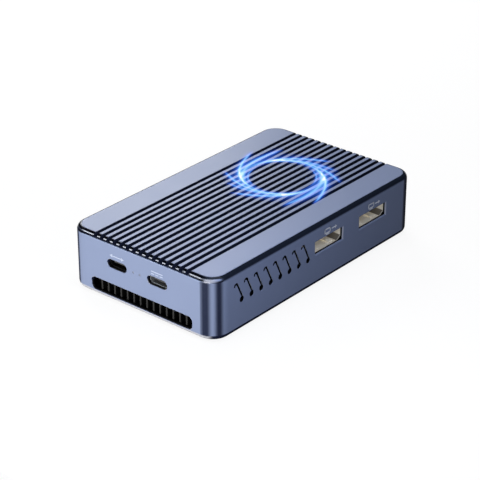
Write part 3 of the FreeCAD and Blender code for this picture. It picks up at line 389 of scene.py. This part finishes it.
def moulded(name, dark, light, grain, roughness, depth=0.01 * MM, specular=0.4):
    """Moulded plastic or rubber: a fine even grain with slow drifts of tone."""
    material, place, _ = new_finish(name)
    speck = noise(place, grain, 2)
    drift = noise(place, 40 * grain, 1)
    show(glossy_body(place, Base_Color=mixed(0.5 * speck + 0.5 * drift, dark, light),
                     Roughness=roughness + 0.12 * speck, Normal=bumped(speck, depth, 0.6),
                     Specular_IOR_Level=specular))
    return material


package_black = moulded("moulded_package", dark=(0.010, 0.010, 0.011, 1), light=(0.022, 0.022, 0.024, 1),
                        grain=0.12 * MM, roughness=0.55)
dress(package_black, "controller_chip", "video_chip", "power_chip")
silicone = moulded("filled_silicone", dark=(0.24, 0.26, 0.30, 1), light=(0.36, 0.38, 0.42, 1),
                   grain=0.3 * MM, roughness=0.7, depth=0.03 * MM)
dress(silicone, "controller_pad", "video_pad", "power_pad")


# Heat sink: an extruded aluminium comb, dark anodised, screwed up against the chips. The
# ends of its fins are the bars in the end vent, so they keep the sawn, paler metal.

sink_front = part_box("heat_sink")[0].x
sink_dark = (0.003, 0.003, 0.003, 1)
sink_drawn = (0.006, 0.006, 0.006, 1)
sawn_grey = (0.034, 0.033, 0.031, 1)
sawn_depth = 0.1 * MM
sawn_fade = 0.3 * MM
line_depth = 0.02 * MM
sink_finish, place, (x, y, z) = new_finish("drawn_aluminium")
drawn_lines = noise(place, 0.25 * MM, 3, (0.02, 1, 1))
saw_lines = noise(place, 0.2 * MM, 2, (1, 1, 6))
sawn = 1 - rise(x, sink_front + sawn_depth, sink_front + sawn_depth + sawn_fade)
drawn_colour = mixed(drawn_lines, sink_dark, sink_drawn)
sink_colour = mixed(sawn * (0.6 + 0.4 * saw_lines), drawn_colour, sawn_grey)
show(glossy_body(place, Base_Color=sink_colour, Metallic=0.4, Roughness=0.45 + 0.15 * drawn_lines,
                 Normal=bumped(drawn_lines, line_depth, 0.5)))
dress(sink_finish, "heat_sink")


# Socket shells: thin plated steel, drawn as a tube for the two reversible sockets, in black nickel
# for data and satin nickel for power, and folded in bright nickel for the displays, with painted
# shade in their bends.
# A faint glow there stands in for light that gathers between the walls, which carry spring fingers.

nickel_dark = (0.88, 0.81, 0.66, 1)
nickel_light = (0.96, 0.92, 0.80, 1)
bend_shadow_colour = (0.15, 0.135, 0.11, 1)
nickel_grain = 0.3 * MM
nickel_roughness = 0.34
nickel_metallic = 0.15
nickel_glow = 0.09
rolled_inward = (1, 0.15, 1)
drawn_inward = (0.15, 1, 1)
shell_wall = 0.35 * MM
finger_width = 2.3 * MM
finger_length = 5.6 * MM
finger_rise = 0.42 * MM
finger_sheet = 0.12 * MM
finger_spread = 4.1 * MM
finger_shift = 0.6 * MM
finger_start = 1.0 * MM
finger_steps = 14
display_names = ("display_socket_1", "display_socket_2")

plating = worked_metal("nickel_plate", nickel_dark, nickel_light, nickel_grain, rolled_inward,
                       nickel_roughness, nickel_metallic, nickel_glow)
folded, place, _ = new_finish("folded_nickel")
facing = place.node("ShaderNodeTexCoord", output="Normal")
nx, nz = [place.node("ShaderNodeSeparateXYZ", None, {0: facing}, axis) for axis in (0, 2)]
# The bends of the folded shells are painted dark as the shade that falls in them.
bend_painted_shade = rise(abs(nx), 0.35, 0.5) * (1 - rise(abs(nx), 0.85, 0.95)) * rise(abs(nz), 0.3, 0.5)
rolled = noise(place, nickel_grain, 3, rolled_inward)
nickel = mixed(bend_painted_shade, mixed(rolled, nickel_dark, nickel_light), bend_shadow_colour)
show(glossy_body(place, Base_Color=nickel, Metallic=nickel_metallic,
                 Roughness=nickel_roughness + 0.15 * rolled, Normal=bumped(rolled, mark_depth, 0.5),
                 Emission_Color=nickel, Emission_Strength=nickel_glow))
dress(folded, *[f"{name}_shell" for name in display_names])
black_nickel = worked_metal("black_nickel", dark=(0.010, 0.010, 0.011, 1), light=(0.020, 0.020, 0.022, 1),
                            grain=nickel_grain, stretch=drawn_inward, roughness=nickel_roughness,
                            metallic=0.5)
dress(black_nickel, "data_socket_shell")
satin_nickel = worked_metal("satin_nickel", dark=(0.31, 0.33, 0.35, 1), light=(0.41, 0.43, 0.45, 1),
                            grain=nickel_grain, stretch=drawn_inward, roughness=nickel_roughness,
                            metallic=0.3)
dress(satin_nickel, "power_socket_shell")


def new_piece(name, mesh, material):
    """Links a bmesh as a piece that moves with the case."""
    data = bpy.data.meshes.new(name)
    bmesh.ops.recalc_face_normals(mesh, faces=mesh.faces)
    mesh.to_mesh(data)
    mesh.free()
    data.materials.append(material)
    piece = bpy.data.objects.new(name, data)
    bpy.context.scene.collection.objects.link(piece)
    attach(piece, "case")


def ribbon(mesh, path, side, thickness):
    """A closed strip of sheet along the points of its middle line, with half its width as a vector."""
    rows = []
    for index, spot in enumerate(path):
        before = path[max(index - 1, 0)]
        after = path[min(index + 1, len(path) - 1)]
        lift = (after - before).cross(side).normalized() * thickness / 2
        corners = ((-1, -1), (1, -1), (1, 1), (-1, 1))
        rows.append([mesh.verts.new(spot + a * side + b * lift) for a, b in corners])
    for row, following in zip(rows, rows[1:]):
        for corner in range(4):
            beside = (corner + 1) % 4
            mesh.faces.new((row[corner], row[beside], following[beside], following[corner]))
    mesh.faces.new(rows[0])
    mesh.faces.new(list(reversed(rows[-1])))


def spring_finger(mesh, root, inward, upward):
    """A finger that rises off the shell, bulges towards the plug and dips back at its free end."""
    path = []
    for step in range(finger_steps + 1):
        share = step / finger_steps
        height = finger_rise * math.sin(math.pi * min(share * 1.12, 1.06)) + finger_sheet
        path.append(root + inward * share * finger_length + upward * height)
    ribbon(mesh, path, Vector((finger_width / 2, 0, 0)), finger_sheet)


for name in display_names:
    low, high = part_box(f"{name}_shell")
    tongue_low, tongue_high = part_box(f"{name}_tongue")
    middle = (tongue_low.x + tongue_high.x) / 2 - finger_shift
    mesh = bmesh.new()
    for side in (-1, 1):
        for wall, upward in ((low.z + shell_wall, 1), (high.z - shell_wall, -1)):
            root = Vector((middle + side * finger_spread, low.y + finger_start, wall))
            spring_finger(mesh, root, Vector((0, 1, 0)), Vector((0, 0, upward)))
    new_piece(f"{name}_springs", mesh, plating)


# Socket tongues: moulded plastic set in each shell, dark grey in the power socket and black in the
# others, carrying a row of gold-plated contacts on both faces, stamped from strip and moulded in.

tongue_grain = 0.1 * MM
tongue_roughness = 0.42
contact_proud = 0.05 * MM
contact_set_back = 0.5 * MM
contact_nose = 0.2 * MM
contact_gap_share = 0.45
tongue_plastic = moulded("tongue_plastic", dark=(0.030, 0.030, 0.032, 1), light=(0.050, 0.050, 0.052, 1),
                         grain=tongue_grain, roughness=tongue_roughness)
dress(tongue_plastic, *[f"{name}_tongue" for name in ("data_socket",) + display_names])
grey_plastic = moulded("grey_plastic", dark=(0.06, 0.06, 0.065, 1), light=(0.09, 0.09, 0.095, 1),
                       grain=tongue_grain, roughness=tongue_roughness)
dress(grey_plastic, "power_socket_tongue")
gold = worked_metal("gold_plate", dark=(0.55, 0.36, 0.10, 1), light=(0.80, 0.56, 0.20, 1),
                    grain=0.2 * MM, stretch=(0.2, 0.2, 1), roughness=0.25)


def contact_row(name, inward, sideways, length, width, thickness, count):
    """Flat contacts with sloped noses on both faces of a tongue, from just behind its front edge."""
    low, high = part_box(f"{name}_tongue")
    front = (low + high) / 2
    front += inward * (low - front).dot(inward)
    pitch = width / count
    half = pitch * (1 - contact_gap_share) / 2
    mesh = bmesh.new()
    for face in (-1, 1):
        lift = Vector((0, 0, face * (thickness / 2 + contact_proud / 2)))
        nose = Vector((0, 0, -face * contact_proud / 2))
        for number in range(count):
            start = front + sideways * (number - (count - 1) / 2) * pitch + lift
            path = [start + inward * contact_set_back + nose,
                    start + inward * (contact_set_back + contact_nose),
                    start + inward * length]
            ribbon(mesh, path, sideways * half, contact_proud)
    new_piece(f"{name}_contacts", mesh, gold)


for name in ("data_socket", "power_socket"):
    contact_row(name, inward=Vector((1, 0, 0)), sideways=Vector((0, 1, 0)),
                length=4.4 * MM, width=6.3 * MM, thickness=0.7 * MM, count=12)
for name in display_names:
    contact_row(name, inward=Vector((0, 1, 0)), sideways=Vector((1, 0, 0)),
                length=5.2 * MM, width=12.4 * MM, thickness=1.3 * MM, count=10)


# Indicator lens: a clear block moulded in one with two light pipes, which end in the small
# holes between the end sockets. A faint haze in the plastic scatters light.

lens_dim = (0.30, 0.34, 0.46, 1)
lens_clear = (0.42, 0.46, 0.58, 1)
clear_plastic_index = 1.49
lens_finish, place, _ = new_finish("hazy_lens")
haze = noise(place, 0.5 * MM, 2)
show(glossy_body(place, Base_Color=mixed(haze, lens_dim, lens_clear), Roughness=0.25 + 0.2 * haze,
                 Transmission_Weight=0.4, IOR=clear_plastic_index))
dress(lens_finish, "indicator_lens")


# Fan frame and rotor: black glass-filled plastic under a stamped steel lid. The rotor is a cup with
# curved blades round a ring of sintered ferrite, and it turns on a ground steel shaft.

fan_plastic = moulded("fan_plastic", dark=(0.009, 0.009, 0.010, 1), light=(0.024, 0.024, 0.026, 1),
                      grain=0.15 * MM, roughness=0.4)
dress(fan_plastic, "fan_frame", "fan_impeller")
stamped = worked_metal("stamped_steel", dark=(0.26, 0.26, 0.27, 1), light=(0.42, 0.42, 0.43, 1),
                       grain=0.4 * MM, stretch=(0.1, 1, 1), roughness=0.35)
dress(stamped, "fan_lid")
ground = worked_metal("ground_steel", dark=(0.42, 0.42, 0.43, 1), light=(0.62, 0.62, 0.62, 1),
                      grain=0.05 * MM, stretch=(1, 1, 6), roughness=0.36)
dress(ground, "fan_shaft")
ferrite = moulded("sintered_ferrite", dark=(0.035, 0.034, 0.036, 1), light=(0.075, 0.073, 0.076, 1),
                  grain=0.2 * MM, roughness=0.6)
dress(ferrite, "fan_magnet")


# Fan motor: a sleeve of porous sintered bronze carries the shaft, inside a stator of stacked steel
# sheet that is wound with enamelled copper wire.

bronze = (0.55, 0.33, 0.14, 1)
pore_brown = (0.10, 0.06, 0.03, 1)
pore_spacing = 0.12 * MM
bronze_finish, place, _ = new_finish("sintered_bronze")
pores = place.node("ShaderNodeTexVoronoi", None, {"Vector": place, "Scale": 1 / pore_spacing})
pore_mask = 1 - rise(pores, 0.12, 0.3)
show(glossy_body(place, Base_Color=mixed(pore_mask, bronze, pore_brown), Metallic=0.9,
                 Roughness=0.32 + 0.3 * pore_mask, Normal=bumped(1 - pore_mask, 0.02 * MM)))
dress(bronze_finish, "fan_bearing")

sheet_thickness = 0.35 * MM
sheet_dark = (0.22, 0.22, 0.23, 1)
sheet_light = (0.36, 0.36, 0.37, 1)
seam_black = (0.03, 0.03, 0.03, 1)
stack_finish, place, (x, y, z) = new_finish("stacked_sheet")
seam = rise(abs((z / sheet_thickness) % 1 - 0.5), 0.38, 0.48)
rolled = noise(place, 0.3 * MM, 3, (1, 1, 0.2))
stack_colour = mixed(seam, mixed(rolled, sheet_dark, sheet_light), seam_black)
show(glossy_body(place, Base_Color=stack_colour, Metallic=0.9, Roughness=0.35 + 0.2 * rolled,
                 Normal=bumped(1 - seam, 0.04 * MM)))
dress(stack_finish, "fan_stator")

wire_diameter = 0.12 * MM
wire_copper = (0.55, 0.22, 0.07, 1)
wire_shade = (0.20, 0.07, 0.02, 1)
coil_finish, place, (x, y, z) = new_finish("enamelled_wire")
fan_middle = (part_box("fan_shaft")[0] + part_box("fan_shaft")[1]) / 2
reach = ((x - fan_middle.x) ** 2 + (y - fan_middle.y) ** 2) ** 0.5
wire = abs((reach / wire_diameter) % 1 - 0.5) * 2
show(glossy_body(place, Base_Color=mixed(wire, wire_copper, wire_shade), Metallic=0.8,
                 Roughness=0.28 + 0.15 * wire, Normal=bumped(1 - wire, 0.05 * MM)))
dress(coil_finish, "fan_coils")


# Fan lead and connector: a flat lead whose cores show as ribs in its black jacket, and a
# connector moulded in natural nylon that takes it at the board.

core_pitch = 0.8 * MM
jacket_black = (0.022, 0.022, 0.024, 1)
jacket_shade = (0.008, 0.008, 0.009, 1)
lead_finish, place, (x, y, z) = new_finish("ribbed_lead")
core = abs(((x - fan_middle.x) / core_pitch) % 1 - 0.5) * 2
show(glossy_body(place, Base_Color=mixed(core, jacket_black, jacket_shade), Roughness=0.45 + 0.1 * core,
                 Normal=bumped(1 - core, 0.08 * MM)))
dress(lead_finish, "fan_lead")
nylon = moulded("natural_nylon", dark=(0.58, 0.55, 0.47, 1), light=(0.70, 0.67, 0.59, 1),
                grain=0.15 * MM, roughness=0.45)
dress(nylon, "fan_connector")


# Light ring: blue emitters on a white flexible board feed a clear moulded guide that is
# stuck against the underside of the top, round the air opening.

guide_dim = (0.55, 0.70, 0.90, 1)
guide_clear = (0.75, 0.86, 0.97, 1)
guide_glow_deep = (0.03, 0.12, 0.80, 1)
guide_glow_pale = (0.08, 0.25, 1.0, 1)
emitter_dim = (0.20, 0.30, 0.75, 1)
emitter_pale = (0.35, 0.50, 0.95, 1)
emitter_glow_deep = (0.02, 0.08, 0.9, 1)
emitter_glow_pale = (0.10, 0.30, 1.0, 1)
flexible_white = moulded("white_flexible_board", dark=(0.66, 0.66, 0.63, 1), light=(0.76, 0.76, 0.73, 1),
                         grain=0.2 * MM, roughness=0.4)
dress(flexible_white, "light_board")

guide_finish, place, _ = new_finish("lit_guide")
frost = noise(place, 0.4 * MM, 2)
show(glossy_body(place, Base_Color=mixed(frost, guide_dim, guide_clear), Roughness=0.3 + 0.2 * frost,
                 Transmission_Weight=0.5, IOR=clear_plastic_index,
                 Emission_Color=mixed(frost, guide_glow_deep, guide_glow_pale), Emission_Strength=0.5))
dress(guide_finish, "light_guide")

emitter_finish, place, _ = new_finish("blue_emitter")
phosphor = noise(place, 0.2 * MM, 2)
show(glossy_body(place, Base_Color=mixed(phosphor, emitter_dim, emitter_pale),
                 Roughness=0.25 + 0.1 * phosphor,
                 Emission_Color=mixed(phosphor, emitter_glow_deep, emitter_glow_pale),
                 Emission_Strength=1.5))
dress(emitter_finish, "light_emitters")


# Bottom cover: an aluminium plate anodised like the housing, let into its lower rim and
# held by four countersunk screws, with round pockets for the feet. Its inner face is painted
# black as the shade inside the case.

cover_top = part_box("bottom_cover")[1].z
cover_finish, place, (x, y, z) = new_finish("anodised_cover")
colour, roughness, normal = anodised(place)
# The inner face is painted near black as the shade inside the case.
colour = mixed(rise(z, cover_top - 0.3 * MM, cover_top - 0.1 * MM), colour, inside_shade_black)
show(glossy_body(place, Base_Color=colour, Roughness=roughness, Normal=normal, Metallic=0.05,
                 Specular_IOR_Level=0.2))
dress(cover_finish, "bottom_cover")


# Feet: four pads of matt black rubber, moulded with a bevelled rim. Each is glued in a round
# pocket of the cover and stands a little proud of it.

foot_rubber = moulded("foot_rubber", dark=(0.012, 0.012, 0.012, 1), light=(0.030, 0.030, 0.030, 1),
                      grain=0.35 * MM, roughness=0.7, depth=0.04 * MM, specular=0.25)
dress(foot_rubber, "foot_1", "foot_2", "foot_3", "foot_4")


# Marks: pictograms printed over the sockets, in thin bluish ink on the end and thick white ink on
# the side. They are a two-way arrow for data, a line over dashes for direct current, and a screen
# with an arrow for each display socket. Their own measures are in millimetres.

thin_ink = moulded("thin_ink", dark=(0.46, 0.52, 0.66, 1), light=(0.54, 0.60, 0.74, 1),
                   grain=0.15 * MM, roughness=0.5)
thick_ink = moulded("thick_ink", dark=(0.90, 0.90, 0.91, 1), light=(0.95, 0.95, 0.95, 1),
                    grain=0.15 * MM, roughness=0.5)
ink_proud = 0.03 * MM
thin_line = 0.34 * MM
thick_line = 0.50 * MM
end_mark_z = case_high.z - 6.05 * MM
side_mark_z = case_high.z - 4.75 * MM
side_mark_shift = 0.8 * MM
to_the_right_on_end = Vector((0, -1, 0))
to_the_right_on_side = Vector((1, 0, 0))


class Sign:
    """Collects strokes of ink in a wall's plane: u runs to the right as seen from outside, v upward."""

    def __init__(self, middle, right, line):
        self.mesh = bmesh.new()
        self.line = line
        self.middle = middle
        self.right = right
        self.up = Vector((0, 0, 1))
        self.out = right.cross(self.up)

    def spot(self, u, v, lift):
        return self.middle + self.right * u * MM + self.up * v * MM + self.out * lift

    def shape(self, corners):
        low = [self.mesh.verts.new(self.spot(u, v, -ink_proud)) for u, v in corners]
        high = [self.mesh.verts.new(self.spot(u, v, ink_proud)) for u, v in corners]
        self.mesh.faces.new(high)
        self.mesh.faces.new(list(reversed(low)))
        for index in range(len(corners)):
            beside = (index + 1) % len(corners)
            self.mesh.faces.new((low[index], low[beside], high[beside], high[index]))

    def stroke(self, start, end):
        """A bar of the sign's line width, from start to end and half that width past both."""
        start, end = Vector(start), Vector(end)
        run = (end - start).normalized() * (self.line / MM / 2)
        aside = Vector((-run.y, run.x))
        self.shape([start - run - aside, end + run - aside, end + run + aside, start - run + aside])

    def arrow_head(self, u, v, toward, length, half):
        self.shape([(u, v - half), (u + toward * length, v), (u, v + half)][::toward])

    def finish(self, name, ink):
        new_piece(name, self.mesh, ink)


data_reach = 2.2
data_head = 1.3
head_half = 0.75
low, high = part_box("data_socket_shell")
sign = Sign(Vector((case_low.x, (low.y + high.y) / 2, end_mark_z)), to_the_right_on_end, thin_line)
sign.stroke((-data_reach, 0), (data_reach, 0))
for toward in (-1, 1):
    sign.arrow_head(toward * data_reach, 0, toward, data_head, head_half)
sign.finish("data_mark", thin_ink)

bar_reach = 2.6
bar_height = 0.45
dash_height = -0.5
dash_length = 1.1
dash_pitch = 2.05
low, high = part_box("power_socket_shell")
sign = Sign(Vector((case_low.x, (low.y + high.y) / 2, end_mark_z)), to_the_right_on_end, thin_line)
sign.stroke((-bar_reach, bar_height), (bar_reach, bar_height))
for number in range(3):
    start = number * dash_pitch - bar_reach
    sign.stroke((start, dash_height), (start + dash_length, dash_height))
sign.finish("power_mark", thin_ink)

screen = [(-3.6, 1.0), (-0.4, 1.0), (-0.4, -0.6), (-3.6, -0.6)]
stand = [(-2.8, -1.15), (-1.2, -1.15)]
arrow = [(0.8, 0.2), (2.6, 0.2)]
display_head = 1.2
for name in display_names:
    low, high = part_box(f"{name}_tongue")
    middle = (low.x + high.x) / 2 + side_mark_shift
    sign = Sign(Vector((middle, case_low.y, side_mark_z)), to_the_right_on_side, thick_line)
    for start, end in zip(screen, screen[1:] + screen[:1]):
        sign.stroke(start, end)
    sign.stroke(*stand)
    sign.stroke(*arrow)
    sign.arrow_head(*arrow[1], 1, display_head, head_half)
    sign.finish(f"{name}_mark", thick_ink)


# Floor: a plain, pale matt sheet that the feet stand on. It looks nearly white, while the gloss of
# the case mirrors only a share of that white, and little light is thrown back up from it.

floor_half = 3.0
floor_gap = 0.05 * MM
floor_paper = (0.12, 0.12, 0.12, 1)
floor_white = (0.90, 0.90, 0.90, 1)
unlit_black = (0, 0, 0, 1)
glossy_share = 0.2
mesh = bmesh.new()
bmesh.ops.create_grid(mesh, x_segments=8, y_segments=8, size=floor_half)
floor_data = bpy.data.meshes.new("floor")
mesh.to_mesh(floor_data)
mesh.free()
floor = bpy.data.objects.new("floor", floor_data)
floor.location.z = -floor_gap
bpy.context.scene.collection.objects.link(floor)
paper, place, _ = new_finish("pale_paper")
straight, mirrored, through = [place.node("ShaderNodeLightPath", output=f"Is {kind} Ray")
                               for kind in ("Camera", "Glossy", "Transmission")]
seen = place.maths("MAXIMUM", place.maths("MAXIMUM", straight, glossy_share * mirrored), through)
show(glossy_body(place, Base_Color=floor_paper, Roughness=0.9, Specular_IOR_Level=0.0,
                 Emission_Color=mixed(seen, unlit_black, floor_white), Emission_Strength=1.0))
floor_data.materials.append(paper)


# Studio light: a wide box behind the case that its top mirrors, a low strip for the socket end, a
# strip for the edge above it, a spot for the near corner, a weak box overhead and a small bluish fill
# for the display side. The room itself is nearly dark.

room_blue = (0.5, 0.62, 1.0, 1)
room_strength = 0.07
fill_blue = (0.70, 0.78, 1.0)
room = bpy.data.worlds.new("studio")
bpy.context.scene.world = room
room.use_nodes = True
room.node_tree.nodes["Background"].inputs["Color"].default_value = room_blue
room.node_tree.nodes["Background"].inputs["Strength"].default_value = room_strength


def soft_box(name, bearing, elevation, distance, width, height, brightness,
             aim=(0, 0, 0.015), tint=(1, 1, 1)):
    """A rectangular lamp of a brightness per area. It faces its aim from a bearing, counted from +X
    towards +Y, and an elevation, both in degrees, and from a distance in metres."""
    lamp = bpy.data.lights.new(name, "AREA")
    lamp.shape = "RECTANGLE"
    lamp.size = width
    lamp.size_y = height
    lamp.energy = brightness * math.pi * width * height
    lamp.color = tint
    holder = bpy.data.objects.new(name, lamp)
    bpy.context.scene.collection.objects.link(holder)
    turn = math.radians(bearing)
    tilt = math.radians(elevation)
    toward = Vector((math.cos(turn) * math.cos(tilt), math.sin(turn) * math.cos(tilt), math.sin(tilt)))
    holder.location = Vector(aim) + toward * distance
    holder.rotation_euler = toward.to_track_quat("Z", "Y").to_euler()
    holder.visible_camera = False


soft_box("top_box", bearing=50, elevation=26, distance=0.52, width=0.286, height=0.234, brightness=6.8,
         aim=(-0.042, 0.034, 0.026))
soft_box("end_key", bearing=177, elevation=0, distance=0.10, width=0.20, height=0.023, brightness=12.6,
         aim=(-0.060, 0.004, 0.0125))
soft_box("edge_strip", bearing=134, elevation=34, distance=0.6, width=0.3, height=0.10, brightness=1.9)
soft_box("corner_spot", bearing=190, elevation=40, distance=0.4, width=0.07, height=0.07, brightness=2.0,
         aim=(-0.057, -0.033, 0.025))
soft_box("overhead", bearing=0, elevation=89, distance=1.2, width=0.9, height=0.9, brightness=2.5)
soft_box("side_fill", bearing=-105, elevation=50, distance=0.13, width=0.08, height=0.08, brightness=4.2,
         aim=(-0.055, -0.036, 0.012), tint=fill_blue)


# Camera: a long lens, level, at the height and side from which the socket end, the long
# side and the top all show.

camera_heading = math.radians(-49.907)
camera_elevation = math.radians(27.355)
camera_place = Vector((-483.62, -403.823, 333.08)) * MM
focal_length = 137.8
sensor_width = 36.0
right = Vector((math.cos(camera_heading), math.sin(camera_heading), 0))
back = Vector((math.sin(camera_heading) * math.cos(camera_elevation),
               -math.cos(camera_heading) * math.cos(camera_elevation), math.sin(camera_elevation)))
up = back.cross(right)
lens = bpy.data.cameras.new("camera")
lens.sensor_width = sensor_width
lens.lens = focal_length
lens.clip_start = 0.01
camera = bpy.data.objects.new("camera", lens)
bpy.context.scene.collection.objects.link(camera)
turned = Matrix((right, up, back)).transposed().to_4x4()
camera.matrix_world = Matrix.Translation(camera_place) @ turned
bpy.context.scene.camera = camera
bpy.context.scene.view_settings.view_transform = "Standard"
